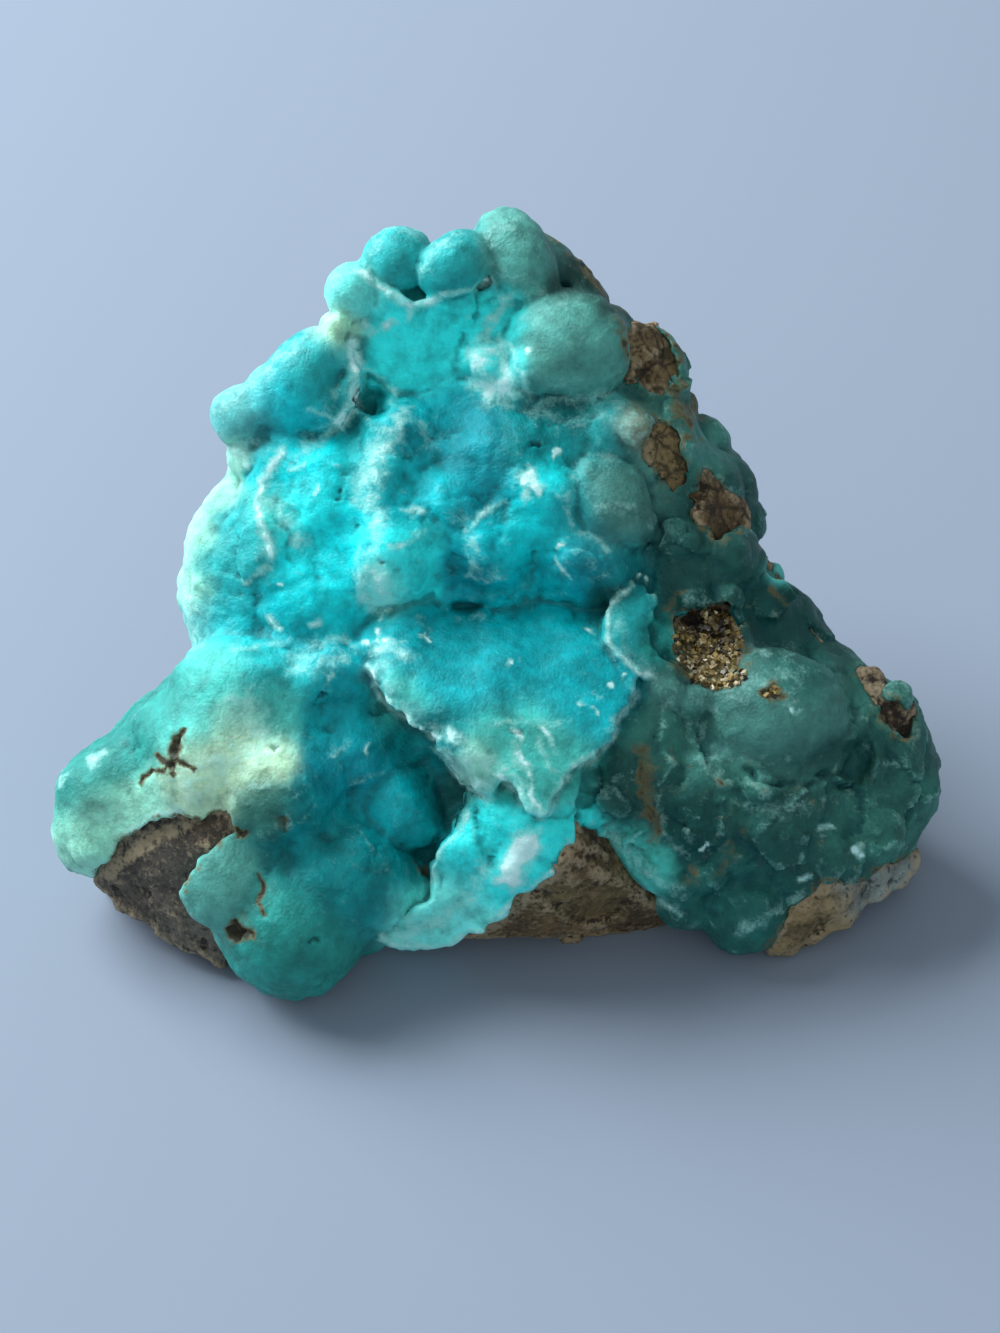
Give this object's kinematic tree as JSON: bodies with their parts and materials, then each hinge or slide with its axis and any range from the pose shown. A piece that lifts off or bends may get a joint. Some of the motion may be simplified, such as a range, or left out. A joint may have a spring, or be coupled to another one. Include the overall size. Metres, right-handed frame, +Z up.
{
  "type": "hemimorphite specimen",
  "caption": "Wedge-shaped mineral specimen: sea-blue botryoidal hemimorphite crust over brown matrix rock, resting on its flat broken base.",
  "frame": {"origin": "on the resting plane, under the middle of the specimen's box", "axes": "+X along the specimen's longest side, to the right when its crusted face is looked at, +Y towards its back, +Z up"},
  "size_m": [0.0904, 0.0627, 0.0599],
  "materials": {
    "matrix_rock": "dull, rough brown to olive-grey limonite-stained rock with sparkling grains",
    "hemimorphite": "waxy to glassy, slightly see-through sea-blue to mint-green botryoidal crust with white broken rims"
  },
  "bodies": {
    "root": {"matrix": "matrix_rock", "hemimorphite_crust": "hemimorphite"}
  },
  "joints": []
}
